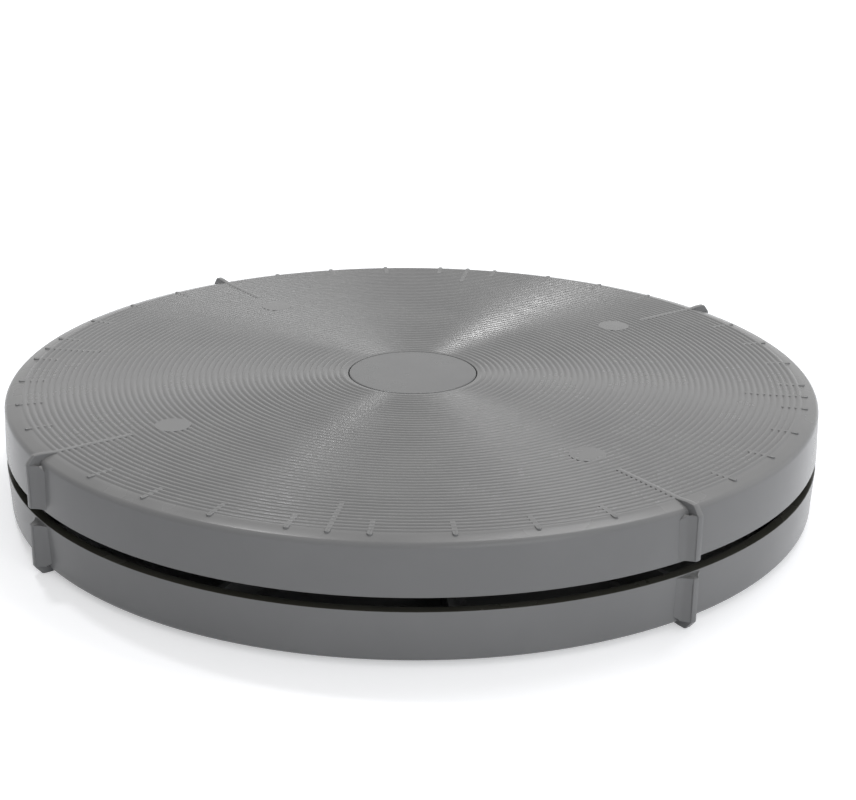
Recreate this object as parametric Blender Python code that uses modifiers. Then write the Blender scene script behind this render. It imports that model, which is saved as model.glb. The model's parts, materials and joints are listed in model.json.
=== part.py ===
"""Twisting disc: two identical ribbed plastic shells that turn on a caged ball race and a centre pivot.

Metres, +Z up. The origin is the middle of the disc on the floor. The ribs and lugs lie on the X and Y axes.
The shell is described in its own frame, whose z = 0 is the mid-plane between the two halves.
"""

import math

import bmesh
import bpy
from mathutils import Matrix, Vector

MM = 0.001

# Moulded shell: outside
SHELL_RADIUS = 152.4 * MM
SHELL_HEIGHT = 18.4 * MM
SKIRT_GAP = 4.6 * MM
WALL_DRAFT = 0.7 * MM
RIM_FILLET = 2.5 * MM
EDGE_ROUND = 0.5 * MM
PLATE_THICKNESS = 3.2 * MM
SKIRT_THICKNESS = 3.6 * MM

# Relief on the outer face
RIB_COUNT = 4
RIB_LENGTH = 35.1 * MM
RIB_WIDTH = 2.2 * MM
RIB_HEIGHT = 0.9 * MM
RIB_OVERHANG = 1.7 * MM
LUG_REACH = 3.7 * MM
LUG_BASE_WIDTH = 10.2 * MM
LUG_ROOF_DROP = 3.2 * MM
LUG_SETBACK = 1.1 * MM
TICK_PITCH = 10.0
TICK_WIDTH = 2.0 * MM
TICK_HEIGHT = 0.55 * MM
TICK_MARGIN = 1.3 * MM
TICK_LENGTH = 10.8 * MM
LONG_TICK_LENGTH = 22.9 * MM
SPOT_RADIUS = 6.7 * MM

# Running and seating clearances
SEAT_GAP = 0.3 * MM
HUB_GAP = 1.8 * MM

# Inside of the shell
WEB_COUNT = 12
WEB_THICKNESS = 2.0 * MM
WEB_SETBACK = 0.2 * MM
SEAT_RIB_WIDTH = 2.5 * MM
RACE_SHOULDER = 1.8 * MM
BOSS_RADIUS = 4.5 * MM
HUB_WALL = 2.2 * MM
HUB_FLOOR = 6.0 * MM
WELL_RADIUS = 16.0 * MM
HUB_STRAIGHT = 5.1 * MM
LEDGE_MARGIN = 2.9 * MM

# Centre cap
CAP_RADIUS = 24.3 * MM
CAP_THICKNESS = 1.8 * MM
CAP_CHAMFER = 0.3 * MM
CAP_LEG_COUNT = 4
CAP_LEG_WIDTH = 7.0 * MM
CAP_LEG_WALL = 1.6 * MM
CAP_LEG_LENGTH = 5.0 * MM
CAP_BARB = 0.5 * MM

# Ball race
TRACK_RADIUS = 92.0 * MM
BALL_RADIUS = 4.0 * MM
BALL_COUNT = 20
GROOVE_CLEARANCE = 0.35 * MM
RACE_SPACING = 4.0 * MM
RACE_THICKNESS = 4.0 * MM
RACE_INNER_LAND = 3.1 * MM
RACE_OUTER_LAND = 2.2 * MM
CAGE_THICKNESS = 2.4 * MM
CAGE_RIM = 1.3 * MM

# Race screws
SCREW_COUNT = 4
SCREW_LAND = 1.8 * MM
SCREW_RADIUS = 2.0 * MM
SCREW_HEAD_RADIUS = 4.0 * MM
SCREW_LENGTH = 12.0 * MM
SCREW_SOCKET_RADIUS = 1.4 * MM
SCREW_SOCKET_DEPTH = 1.3 * MM
HEAD_SINK = 0.1 * MM

# Centre pivot
BOLT_RADIUS = 4.0 * MM
BOLT_HEAD_HEIGHT = 5.3 * MM
BOLT_END = 0.8 * MM
HEX_SIDES = 6
HEX_ACROSS_FLATS = 13.0 * MM
HEX_CHAMFER = 0.5 * MM
NUT_HEIGHT = 4.0 * MM
SPRING_WASHER_THICKNESS = 2.0 * MM
SPRING_WASHER_WIDTH = 3.0 * MM
SPRING_WASHER_SLIT = 1.2 * MM
WASHER_RADIUS = 8.0 * MM
WASHER_THICKNESS = 1.6 * MM
SLEEVE_WALL = 0.9 * MM
BUSH_WALL = 1.4 * MM
BUSH_FLANGE_RADIUS = 11.0 * MM
BUSH_FLANGE = 1.2 * MM
THRUST_WASHER_RADIUS = 14.0 * MM

# Facets of the turned shapes
SHELL_STEPS = 60
HUB_STEPS = 30
RACE_STEPS = 40
CAP_STEPS = 36
SMALL_STEPS = 20
HOLE_STEPS = 10
FILLET_FACETS = 3
GROOVE_FACETS = 4

# Heights above the mid-plane
EDGE_Z = SKIRT_GAP / 2
TOP_Z = EDGE_Z + SHELL_HEIGHT
RIB_Z = TOP_Z + RIB_HEIGHT
MID_Z = RIB_Z
UNDER_Z = TOP_Z - PLATE_THICKNESS
RECESS_Z = TOP_Z - CAP_THICKNESS - SEAT_GAP
SUNK_Z = (UNDER_Z + RECESS_Z) / 2
HUB_Z = HUB_GAP / 2
FLOOR_Z = HUB_Z + HUB_FLOOR
RACE_Z = RACE_SPACING / 2
RACE_BACK_Z = RACE_Z + RACE_THICKNESS
SEAT_Z = RACE_BACK_Z + SEAT_GAP
SCREW_TOP_Z = RACE_Z + HEAD_SINK + SCREW_LENGTH

# Radii that follow from their neighbours
SLEEVE_INNER = BOLT_RADIUS + SEAT_GAP
SLEEVE_OUTER = SLEEVE_INNER + SLEEVE_WALL
BUSH_INNER = SLEEVE_OUTER + SEAT_GAP
BUSH_OUTER = BUSH_INNER + BUSH_WALL
BORE_RADIUS = BUSH_OUTER + SEAT_GAP
RECESS_RADIUS = CAP_RADIUS + SEAT_GAP
HUB_RADIUS = WELL_RADIUS + HUB_WALL
LEDGE_RADIUS = RECESS_RADIUS + LEDGE_MARGIN
SKIRT_INNER = SHELL_RADIUS - SKIRT_THICKNESS
WALL_TOP_RADIUS = SHELL_RADIUS - WALL_DRAFT
TICK_END = WALL_TOP_RADIUS - RIM_FILLET - TICK_MARGIN
SCREW_HOLE_RADIUS = SCREW_RADIUS + SEAT_GAP
SCREW_MOUTH_RADIUS = SCREW_HEAD_RADIUS + SEAT_GAP
POCKET_RADIUS = BALL_RADIUS + SEAT_GAP
GROOVE_RADIUS = BALL_RADIUS + GROOVE_CLEARANCE
GROOVE_HALF_WIDTH = math.sqrt(GROOVE_RADIUS**2 - RACE_Z**2)
SCREW_CIRCLE = TRACK_RADIUS + GROOVE_HALF_WIDTH + SCREW_LAND + SCREW_MOUTH_RADIUS
RACE_OUTER_RADIUS = SCREW_CIRCLE + SCREW_MOUTH_RADIUS + RACE_OUTER_LAND
RACE_INNER_RADIUS = TRACK_RADIUS - GROOVE_HALF_WIDTH - RACE_INNER_LAND

# Heights of the pivot stack, from the hub floor outwards
FLANGE_Z = FLOOR_Z + SEAT_GAP
FLANGE_TOP_Z = FLANGE_Z + BUSH_FLANGE
SLEEVE_END_Z = FLANGE_TOP_Z + SEAT_GAP
WASHER_Z = SLEEVE_END_Z + SEAT_GAP
WASHER_TOP_Z = WASHER_Z + WASHER_THICKNESS
SPRING_Z = WASHER_TOP_Z + SEAT_GAP
NUT_Z = SPRING_Z + SPRING_WASHER_THICKNESS + SEAT_GAP
NUT_TOP_Z = NUT_Z + NUT_HEIGHT
HEAD_Z = -(WASHER_TOP_Z + SEAT_GAP)

UPPER = Matrix.Translation((0, 0, MID_Z))
LOWER = Matrix.Translation((0, 0, MID_Z)) @ Matrix.Rotation(math.pi, 4, "X")


def clear_scene():
    for thing in list(bpy.data.objects):
        bpy.data.objects.remove(thing, do_unlink=True)


def new_collection(name):
    group = bpy.data.collections.new(name)
    bpy.context.scene.collection.children.link(group)
    return group


def new_material(name, colour, roughness, metallic=0.0):
    material = bpy.data.materials.new(name)
    material.use_nodes = True
    shader = material.node_tree.nodes["Principled BSDF"]
    shader.inputs["Base Color"].default_value = (*colour, 1.0)
    shader.inputs["Roughness"].default_value = roughness
    shader.inputs["Metallic"].default_value = metallic
    material.diffuse_color = (*colour, 1.0)
    return material


def mesh_object(name, mesh, group):
    thing = bpy.data.objects.new(name, mesh)
    group.objects.link(thing)
    return thing


def from_bmesh(name, shape, group):
    """Turns a bmesh into an object whose faces point outwards."""
    bmesh.ops.recalc_face_normals(shape, faces=shape.faces[:])
    mesh = bpy.data.meshes.new(name)
    shape.to_mesh(mesh)
    shape.free()
    return mesh_object(name, mesh, group)


def turned(name, profile, steps, group, closed=True):
    """Screws a profile of (radius, z) points round Z. It runs down the outer side and up the inner one.

    A closed profile away from the axis gets an edge from its last point to its first.
    """
    mesh = bpy.data.meshes.new(name)
    points = [(radius, 0.0, z) for radius, z in profile]
    edges = [(i, i + 1) for i in range(len(points) - 1)]
    if closed and profile[0][0] > 0.0:
        edges.append((len(points) - 1, 0))
    mesh.from_pydata(points, edges, [])
    thing = mesh_object(name, mesh, group)
    screw = thing.modifiers.new("turn", "SCREW")
    screw.axis = "Z"
    screw.angle = 2 * math.pi
    screw.steps = steps
    screw.render_steps = steps
    screw.use_merge_vertices = True
    screw.merge_threshold = 0.00001
    return thing


def arc(centre, radius, start, end, facets):
    """Points of an arc in the profile plane, with angles in degrees from the +radius direction."""
    points = []
    for i in range(facets + 1):
        angle = math.radians(start + (end - start) * i / facets)
        points.append((centre[0] + radius * math.cos(angle), centre[1] + radius * math.sin(angle)))
    return points


def bake(thing):
    """Replaces the object's mesh by what its modifiers make of it."""
    depsgraph = bpy.context.evaluated_depsgraph_get()
    mesh = bpy.data.meshes.new_from_object(thing.evaluated_get(depsgraph))
    thing.modifiers.clear()
    thing.data = mesh
    return thing


def as_cutter(thing):
    thing.display_type = "WIRE"
    thing.hide_render = True
    return thing


def combine(thing, operation, other):
    step = thing.modifiers.new(other.name, "BOOLEAN")
    step.operation = operation
    step.solver = "EXACT"
    step.object = as_cutter(other)
    return thing


def ring_of(name, source, count, group):
    """Joins copies of a mesh, turned round Z at an even pitch, into one tool for a Boolean."""
    shape = bmesh.new()
    for i in range(count):
        turn = Matrix.Rotation(2 * math.pi * i / count, 4, "Z")
        start = len(shape.verts)
        shape.from_mesh(source)
        shape.verts.ensure_lookup_table()
        bmesh.ops.transform(shape, matrix=turn, verts=shape.verts[start:])
    mesh = bpy.data.meshes.new(name)
    shape.to_mesh(mesh)
    shape.free()
    return mesh_object(name, mesh, group)


def box_mesh(name, low, high):
    shape = bmesh.new()
    bmesh.ops.create_cube(shape, size=1.0)
    size = Vector(high) - Vector(low)
    centre = (Vector(high) + Vector(low)) / 2
    bmesh.ops.scale(shape, vec=size, verts=shape.verts[:])
    bmesh.ops.translate(shape, vec=centre, verts=shape.verts[:])
    mesh = bpy.data.meshes.new(name)
    shape.to_mesh(mesh)
    shape.free()
    return mesh


def rod_mesh(name, radius, low, high, segments, at=0.0):
    """Cylinder along Z between two heights, at a distance along +X."""
    shape = bmesh.new()
    bmesh.ops.create_cone(
        shape, cap_ends=True, segments=segments, radius1=radius, radius2=radius, depth=high - low
    )
    bmesh.ops.translate(shape, vec=(at, 0, (low + high) / 2), verts=shape.verts[:])
    mesh = bpy.data.meshes.new(name)
    shape.to_mesh(mesh)
    shape.free()
    return mesh


def dress(mesh, material):
    """Gives a mesh its material and smooth shading with sharp edges."""
    mesh.materials.clear()
    mesh.materials.append(material)
    mesh.shade_smooth()
    mesh.set_sharp_from_angle(angle=math.radians(32))


def finish(thing, material, place):
    """Bakes a part's modifiers, dresses it and puts it in its place, with flat faces shaded flat."""
    bake(thing)
    dress(thing.data, material)
    thing.matrix_world = place
    weighted = thing.modifiers.new("flat_faces", "WEIGHTED_NORMAL")
    weighted.keep_sharp = True
    return thing


def place_ring(name, mesh, count, material, place, group):
    """Puts one object for each of a ring of equal pieces, which share their mesh."""
    dress(mesh, material)
    for i in range(count):
        piece = mesh_object(f"{name}_{i + 1:02d}", mesh, group)
        piece.matrix_world = place @ Matrix.Rotation(2 * math.pi * i / count, 4, "Z")


def skirt_profile():
    """Half section of the shell's outer part: over the rim, down the skirt and back under the plate."""
    inner_seat = RACE_INNER_RADIUS + SEAT_RIB_WIDTH
    outer_seat = RACE_OUTER_RADIUS + SEAT_GAP
    shoulder_z = SEAT_Z - RACE_SHOULDER
    rim_centre = (WALL_TOP_RADIUS - RIM_FILLET, TOP_Z - RIM_FILLET)
    return [
        *arc(rim_centre, RIM_FILLET, 90, 0, FILLET_FACETS),
        (SHELL_RADIUS, EDGE_Z + EDGE_ROUND),
        (SHELL_RADIUS - EDGE_ROUND, EDGE_Z),
        (SKIRT_INNER, EDGE_Z),
        (SKIRT_INNER, UNDER_Z),
        (outer_seat + SEAT_RIB_WIDTH, UNDER_Z),
        (outer_seat + SEAT_RIB_WIDTH, shoulder_z),
        (outer_seat, shoulder_z),
        (outer_seat, UNDER_Z),
        (inner_seat, UNDER_Z),
        (inner_seat, SEAT_Z),
        (RACE_INNER_RADIUS, SEAT_Z),
        (RACE_INNER_RADIUS, UNDER_Z),
    ]


def hub_profile():
    """Half section of the hub: down its outer side, up the bore and the well, and out to the cap's recess."""
    return [
        (LEDGE_RADIUS, UNDER_Z),
        (HUB_RADIUS, FLOOR_Z + HUB_STRAIGHT),
        (HUB_RADIUS, HUB_Z),
        (BORE_RADIUS, HUB_Z),
        (BORE_RADIUS, FLOOR_Z),
        (WELL_RADIUS, FLOOR_Z),
        (WELL_RADIUS, RECESS_Z),
        (RECESS_RADIUS, RECESS_Z),
        (RECESS_RADIUS, TOP_Z),
    ]


def shell_webs(tools):
    """Straight webs from the hub to the skirt, a little short of the race's back."""
    web = box_mesh(
        "web",
        (WELL_RADIUS + HUB_WALL / 2, -WEB_THICKNESS / 2, SEAT_Z + WEB_SETBACK),
        (SHELL_RADIUS - SKIRT_THICKNESS / 2, WEB_THICKNESS / 2, SUNK_Z),
    )
    return ring_of("webs", web, WEB_COUNT, tools)


def shell_bosses(tools):
    """Screw bosses, which carry the race at the seat's height."""
    boss = rod_mesh("boss", BOSS_RADIUS, SEAT_Z, SUNK_Z, HOLE_STEPS, SCREW_CIRCLE)
    return ring_of("bosses", boss, SCREW_COUNT, tools)


def shell_screw_holes(tools):
    """Blind holes in the bosses, a little deeper than the screws."""
    hole_end_z = SCREW_TOP_Z + SEAT_GAP
    hole = rod_mesh("hole", SCREW_HOLE_RADIUS, RACE_Z, hole_end_z, HOLE_STEPS, SCREW_CIRCLE)
    return ring_of("screw_holes", hole, SCREW_COUNT, tools)


def shell_relief(tools):
    """Degree ticks, with a long one halfway between two ribs, and the flat round spots over the bosses."""
    shape = bmesh.new()
    quarter = 360.0 / RIB_COUNT
    ticks = round(quarter / TICK_PITCH)
    marks = [(i * TICK_PITCH, TICK_LENGTH) for i in range(1, ticks)]
    marks.append((quarter / 2, LONG_TICK_LENGTH))
    half = TICK_WIDTH / 2
    crest_z = TOP_Z + TICK_HEIGHT
    for angle, length in marks:
        tick = box_mesh("tick", (TICK_END - length, -half, SUNK_Z), (TICK_END, half, crest_z))
        first = len(shape.verts)
        shape.from_mesh(tick)
        shape.verts.ensure_lookup_table()
        turn = Matrix.Rotation(math.radians(angle), 4, "Z")
        bmesh.ops.transform(shape, matrix=turn, verts=shape.verts[first:])
    spot = rod_mesh("spot", SPOT_RADIUS, SUNK_Z, crest_z, SMALL_STEPS, SCREW_CIRCLE)
    shape.from_mesh(spot)
    quadrant = bpy.data.meshes.new("quadrant")
    shape.to_mesh(quadrant)
    shape.free()
    return ring_of("relief", quadrant, RIB_COUNT, tools)


def extruded(shape, face, vec, keep=False):
    """Draws a face out along a vector and returns it, with or without leaving a face behind."""
    grown = bmesh.ops.extrude_face_region(shape, geom=[face])
    if not keep:
        bmesh.ops.delete(shape, geom=[face], context="FACES_ONLY")
    moved = next(item for item in grown["geom"] if isinstance(item, bmesh.types.BMFace))
    bmesh.ops.translate(shape, vec=vec, verts=moved.verts[:])
    return moved


def shell_ribs(tools):
    """Ribs that run along the plate, over the rim and down the skirt, where flanks make them grip lugs.

    The lug's plan is drawn up the skirt, closed by a roof that falls to both sides, and carried on as a neck
    to the rib's top. The inner face of the neck is then drawn in along the plate.
    """
    root = SHELL_RADIUS - SKIRT_THICKNESS / 2
    nose = SHELL_RADIUS + LUG_REACH
    half = RIB_WIDTH / 2
    floor_z = EDGE_Z + LUG_SETBACK
    ridge_z = TOP_Z - RIM_FILLET
    corners = [
        (root, -LUG_BASE_WIDTH / 2),
        (WALL_TOP_RADIUS, -LUG_BASE_WIDTH / 2),
        (nose, -half),
        (nose, half),
        (WALL_TOP_RADIUS, LUG_BASE_WIDTH / 2),
        (root, LUG_BASE_WIDTH / 2),
    ]
    shape = bmesh.new()
    floor = shape.faces.new([shape.verts.new((x, y, floor_z)) for x, y in corners])
    body = extruded(shape, floor, (0, 0, ridge_z - LUG_ROOF_DROP - floor_z), keep=True)
    roof = extruded(shape, body, (0, 0, LUG_ROOF_DROP))
    for vert in roof.verts:
        vert.co.x = root if vert.co.x < (root + WALL_TOP_RADIUS) / 2 else nose
        vert.co.y = math.copysign(half, vert.co.y)
    bmesh.ops.remove_doubles(shape, verts=shape.verts[:], dist=MM / 100)
    ridge = max(shape.faces, key=lambda face: face.calc_center_median().z)
    neck = extruded(shape, ridge, (0, 0, RIB_Z - ridge_z))
    for vert in neck.verts:
        vert.co.x = min(vert.co.x, WALL_TOP_RADIUS + RIB_OVERHANG)
    sides = [face for edge in neck.edges for face in edge.link_faces if face != neck]
    inner = min(sides, key=lambda face: face.calc_center_median().x)
    extruded(shape, inner, (WALL_TOP_RADIUS - RIB_LENGTH - root, 0, 0))
    bmesh.ops.recalc_face_normals(shape, faces=shape.faces[:])
    mesh = bpy.data.meshes.new("rib")
    shape.to_mesh(mesh)
    shape.free()
    return ring_of("ribs", mesh, RIB_COUNT, tools)


def turned_shell(tools):
    """Joins the skirt and the hub by the plate: one ring of faces on top and one underneath."""
    skirt = bake(turned("skirt", skirt_profile(), SHELL_STEPS, tools, closed=False))
    hub = bake(turned("hub", hub_profile(), HUB_STEPS, tools, closed=False))
    shape = bmesh.new()
    shape.from_mesh(skirt.data)
    shape.from_mesh(hub.data)
    for tool in (skirt, hub):
        bpy.data.objects.remove(tool, do_unlink=True)
    rims = [edge for edge in shape.edges if edge.is_boundary]
    for z in (TOP_Z, UNDER_Z):
        loops = [edge for edge in rims if abs(edge.verts[0].co.z - z) < MM / 100]
        bmesh.ops.bridge_loops(shape, edges=loops)
    return from_bmesh("shell", shape, tools)


def make_shell_mesh(tools):
    """One moulding, used for both halves."""
    shell = turned_shell(tools)
    combine(shell, "UNION", shell_webs(tools))
    combine(shell, "UNION", shell_bosses(tools))
    combine(shell, "UNION", shell_relief(tools))
    combine(shell, "UNION", shell_ribs(tools))
    combine(shell, "DIFFERENCE", shell_screw_holes(tools))
    return as_cutter(bake(shell)).data


def cap_leg_mesh():
    """Snap leg under the cap: a flat tab whose foot has a barb that leans on the well's wall."""
    reach = math.hypot(WELL_RADIUS - SEAT_GAP, CAP_LEG_WIDTH / 2) - (WELL_RADIUS - SEAT_GAP)
    outer = WELL_RADIUS - SEAT_GAP - reach
    inner = outer - CAP_BARB - CAP_LEG_WALL
    root_z = TOP_Z - CAP_THICKNESS / 2
    foot_z = TOP_Z - CAP_THICKNESS - CAP_LEG_LENGTH
    side = [
        (inner, root_z),
        (inner, foot_z),
        (outer - CAP_BARB, foot_z),
        (outer, foot_z + 2 * CAP_BARB),
        (outer - CAP_BARB, foot_z + 4 * CAP_BARB),
        (outer - CAP_BARB, root_z),
    ]
    shape = bmesh.new()
    face = shape.faces.new([shape.verts.new((x, -CAP_LEG_WIDTH / 2, z)) for x, z in side])
    leg = bmesh.ops.extrude_face_region(shape, geom=[face])
    far = [v for v in leg["geom"] if isinstance(v, bmesh.types.BMVert)]
    bmesh.ops.translate(shape, vec=(0, CAP_LEG_WIDTH, 0), verts=far)
    bmesh.ops.recalc_face_normals(shape, faces=shape.faces[:])
    mesh = bpy.data.meshes.new("leg")
    shape.to_mesh(mesh)
    shape.free()
    return mesh


def make_cap(name, tools, group):
    """Flush disc with snap legs that press into the well."""
    under_z = TOP_Z - CAP_THICKNESS
    profile = [
        (0.0, TOP_Z),
        (CAP_RADIUS - CAP_CHAMFER, TOP_Z),
        (CAP_RADIUS, TOP_Z - CAP_CHAMFER),
        (CAP_RADIUS, under_z),
        (0.0, under_z),
    ]
    cap = turned(name, profile, CAP_STEPS, group)
    return combine(cap, "UNION", ring_of(f"{name}_legs", cap_leg_mesh(), CAP_LEG_COUNT, tools))


def screw_mesh(tools):
    """Countersunk screw, head down towards the mid-plane, with a hexagon socket."""
    head_z = RACE_Z + HEAD_SINK
    cone = SCREW_HEAD_RADIUS - SCREW_RADIUS
    profile = [
        (0.0, SCREW_TOP_Z),
        (SCREW_RADIUS / 2, SCREW_TOP_Z),
        (SCREW_RADIUS, SCREW_TOP_Z - SCREW_RADIUS / 2),
        (SCREW_RADIUS, head_z + cone),
        (SCREW_HEAD_RADIUS, head_z),
        (0.0, head_z),
    ]
    screw = turned("screw", profile, HOLE_STEPS, tools)
    socket_low = head_z - SCREW_SOCKET_DEPTH
    socket_high = head_z + SCREW_SOCKET_DEPTH
    socket = rod_mesh("socket", SCREW_SOCKET_RADIUS, socket_low, socket_high, HEX_SIDES)
    combine(screw, "DIFFERENCE", mesh_object("socket", socket, tools))
    bake(screw)
    screw.data.transform(Matrix.Translation((SCREW_CIRCLE, 0, 0)))
    return as_cutter(screw).data


def make_race(name, tools, group):
    """Steel ring with a ball groove in its face and countersunk screw holes."""
    rise = math.degrees(math.asin(RACE_Z / GROOVE_RADIUS))
    profile = [
        (RACE_OUTER_RADIUS, RACE_BACK_Z),
        (RACE_OUTER_RADIUS, RACE_Z),
        *arc((TRACK_RADIUS, 0.0), GROOVE_RADIUS, rise, 180 - rise, GROOVE_FACETS),
        (RACE_INNER_RADIUS, RACE_Z),
        (RACE_INNER_RADIUS, RACE_BACK_Z),
    ]
    race = turned(name, profile, RACE_STEPS, group)
    lead = RACE_THICKNESS / 2
    cone = SCREW_MOUTH_RADIUS - SCREW_HOLE_RADIUS
    hole_profile = [
        (0.0, RACE_BACK_Z + lead),
        (SCREW_HOLE_RADIUS, RACE_BACK_Z + lead),
        (SCREW_HOLE_RADIUS, RACE_Z + HEAD_SINK + cone),
        (SCREW_MOUTH_RADIUS, RACE_Z + HEAD_SINK),
        (SCREW_MOUTH_RADIUS, RACE_Z - lead),
        (0.0, RACE_Z - lead),
    ]
    hole = bake(turned(f"{name}_hole", hole_profile, HOLE_STEPS, tools))
    hole.data.transform(Matrix.Translation((SCREW_CIRCLE, 0, 0)))
    as_cutter(hole)
    combine(race, "DIFFERENCE", ring_of(f"{name}_holes", hole.data, SCREW_COUNT, tools))
    return race


def make_cage(name, tools, group):
    """Flat plastic ring with a round pocket for each ball."""
    outer = TRACK_RADIUS + POCKET_RADIUS + CAGE_RIM
    inner = TRACK_RADIUS - POCKET_RADIUS - CAGE_RIM
    half = CAGE_THICKNESS / 2
    cage = turned(name, [(outer, half), (outer, -half), (inner, -half), (inner, half)], RACE_STEPS, group)
    pocket = rod_mesh("pocket", POCKET_RADIUS, -CAGE_THICKNESS, CAGE_THICKNESS, HOLE_STEPS, TRACK_RADIUS)
    combine(cage, "DIFFERENCE", ring_of("pockets", pocket, BALL_COUNT, tools))
    return cage


def ball_mesh():
    shape = bmesh.new()
    bmesh.ops.create_icosphere(shape, subdivisions=2, radius=BALL_RADIUS)
    bmesh.ops.translate(shape, vec=(TRACK_RADIUS, 0, 0), verts=shape.verts[:])
    mesh = bpy.data.meshes.new("ball")
    shape.to_mesh(mesh)
    shape.free()
    return mesh


def make_ring(name, inner, outer, low, high, group):
    """Plain washer, sleeve or spacer."""
    return turned(name, [(outer, high), (outer, low), (inner, low), (inner, high)], SMALL_STEPS, group)


def make_bush(name, group):
    """Flanged plain bush: the flange lies on the hub floor and the sleeve lines the bore."""
    profile = [
        (BUSH_FLANGE_RADIUS, FLANGE_TOP_Z),
        (BUSH_FLANGE_RADIUS, FLANGE_Z),
        (BUSH_OUTER, FLANGE_Z),
        (BUSH_OUTER, HUB_Z),
        (BUSH_INNER, HUB_Z),
        (BUSH_INNER, FLANGE_TOP_Z),
    ]
    return turned(name, profile, SMALL_STEPS, group)


def hex_prism(name, low, high, group):
    """Hexagon with chamfered end edges, flats across X."""
    shape = bmesh.new()
    corner = HEX_ACROSS_FLATS / math.sqrt(3)
    bmesh.ops.create_cone(
        shape, cap_ends=True, segments=HEX_SIDES, radius1=corner, radius2=corner, depth=high - low
    )
    bmesh.ops.translate(shape, vec=(0, 0, (low + high) / 2), verts=shape.verts[:])
    rims = [e for e in shape.edges if abs(e.verts[0].co.z - e.verts[1].co.z) < MM / 100]
    bmesh.ops.bevel(
        shape, geom=rims, offset=HEX_CHAMFER, offset_type="OFFSET", affect="EDGES", segments=1,
        profile=0.5, material=-1,
    )
    return from_bmesh(name, shape, group)


def make_bolt(name, tools, group):
    """Hexagon-head bolt, head in the lower well, end just through the nut."""
    bolt = hex_prism(name, HEAD_Z - BOLT_HEAD_HEIGHT, HEAD_Z, group)
    end_z = NUT_TOP_Z + BOLT_END
    shank = [
        (0.0, end_z),
        (BOLT_RADIUS - BOLT_END, end_z),
        (BOLT_RADIUS, end_z - BOLT_END),
        (BOLT_RADIUS, HEAD_Z - BOLT_HEAD_HEIGHT / 2),
        (0.0, HEAD_Z - BOLT_HEAD_HEIGHT / 2),
    ]
    combine(bolt, "UNION", turned("shank", shank, SMALL_STEPS, tools))
    return bolt


def make_nut(name, tools, group):
    nut = hex_prism(name, NUT_Z, NUT_TOP_Z, group)
    hole = rod_mesh("nut_hole", SLEEVE_INNER, NUT_Z - NUT_HEIGHT, NUT_TOP_Z + NUT_HEIGHT, SMALL_STEPS)
    combine(nut, "DIFFERENCE", mesh_object("nut_hole", hole, tools))
    return nut


def make_spring_washer(name, tools, group):
    """Split lock washer: a square-section ring with one slanted slit."""
    top_z = SPRING_Z + SPRING_WASHER_THICKNESS
    outer = SLEEVE_INNER + SPRING_WASHER_WIDTH
    ring = make_ring(name, SLEEVE_INNER, outer, SPRING_Z, top_z, group)
    slit = box_mesh(
        "slit",
        (0, -SPRING_WASHER_SLIT / 2, -2 * SPRING_WASHER_THICKNESS),
        (2 * outer, SPRING_WASHER_SLIT / 2, 2 * SPRING_WASHER_THICKNESS),
    )
    cutter = mesh_object("slit", slit, tools)
    cutter.location = (0, 0, (SPRING_Z + top_z) / 2)
    cutter.rotation_euler = (math.radians(25), 0, math.radians(20))
    combine(ring, "DIFFERENCE", cutter)
    return ring


def build():
    clear_scene()
    disc = new_collection("twisting_disc")
    tools = new_collection("cutters")

    shell_grey = new_material("shell_plastic", (0.255, 0.258, 0.262), 0.42)
    cap_grey = new_material("cap_plastic", (0.27, 0.27, 0.272), 0.38)
    race_steel = new_material("race_steel", (0.55, 0.56, 0.58), 0.28, 1.0)
    ball_steel = new_material("ball_steel", (0.72, 0.73, 0.75), 0.12, 1.0)
    zinc = new_material("zinc_plate", (0.62, 0.63, 0.64), 0.34, 1.0)
    cage_nylon = new_material("cage_nylon", (0.78, 0.77, 0.72), 0.45)
    bush_acetal = new_material("bush_acetal", (0.06, 0.06, 0.065), 0.4)

    shell = make_shell_mesh(tools)
    screws = screw_mesh(tools)

    for side, place in (("upper", UPPER), ("lower", LOWER)):
        finish(mesh_object(f"{side}_shell", shell.copy(), disc), shell_grey, place)
        finish(make_cap(f"{side}_centre_cap", tools, disc), cap_grey, place)
        finish(make_race(f"{side}_race", tools, disc), race_steel, place)
        place_ring(f"{side}_race_screw", screws, SCREW_COUNT, zinc, place, disc)
        finish(make_bush(f"{side}_bush", disc), bush_acetal, place)

    finish(make_cage("ball_cage", tools, disc), cage_nylon, UPPER)
    place_ring("bearing_ball", ball_mesh(), BALL_COUNT, ball_steel, UPPER, disc)

    slip_inner = SLEEVE_OUTER + SEAT_GAP
    slip_half = HUB_Z - SEAT_GAP
    slip = make_ring("thrust_washer", slip_inner, THRUST_WASHER_RADIUS, -slip_half, slip_half, disc)
    finish(slip, cage_nylon, UPPER)

    sleeve = make_ring("pivot_sleeve", SLEEVE_INNER, SLEEVE_OUTER, -SLEEVE_END_Z, SLEEVE_END_Z, disc)
    finish(sleeve, zinc, UPPER)
    for name, low, high in (
        ("nut_washer", WASHER_Z, WASHER_TOP_Z),
        ("head_washer", -WASHER_TOP_Z, -WASHER_Z),
    ):
        finish(make_ring(name, SLEEVE_INNER, WASHER_RADIUS, low, high, disc), zinc, UPPER)
    finish(make_spring_washer("spring_washer", tools, disc), zinc, UPPER)
    finish(make_nut("pivot_nut", tools, disc), zinc, UPPER)
    finish(make_bolt("pivot_bolt", tools, disc), zinc, UPPER)


build()
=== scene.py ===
# %% [markdown]
# # A twisting disc
# The disc is two equal grey plastic shells, one turned over on the other. They spin on a ring of steel
# balls and on a bolt through the middle. The solids that carry and turn are loaded as a fixed frame. This
# script makes the fine surfaces of the two shells and their caps, gives the hidden hardware its finishes,
# and lights the disc. All lengths are in metres, +Z is up, and the origin lies on the floor under the
# middle of the disc.

import json
import math

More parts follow.
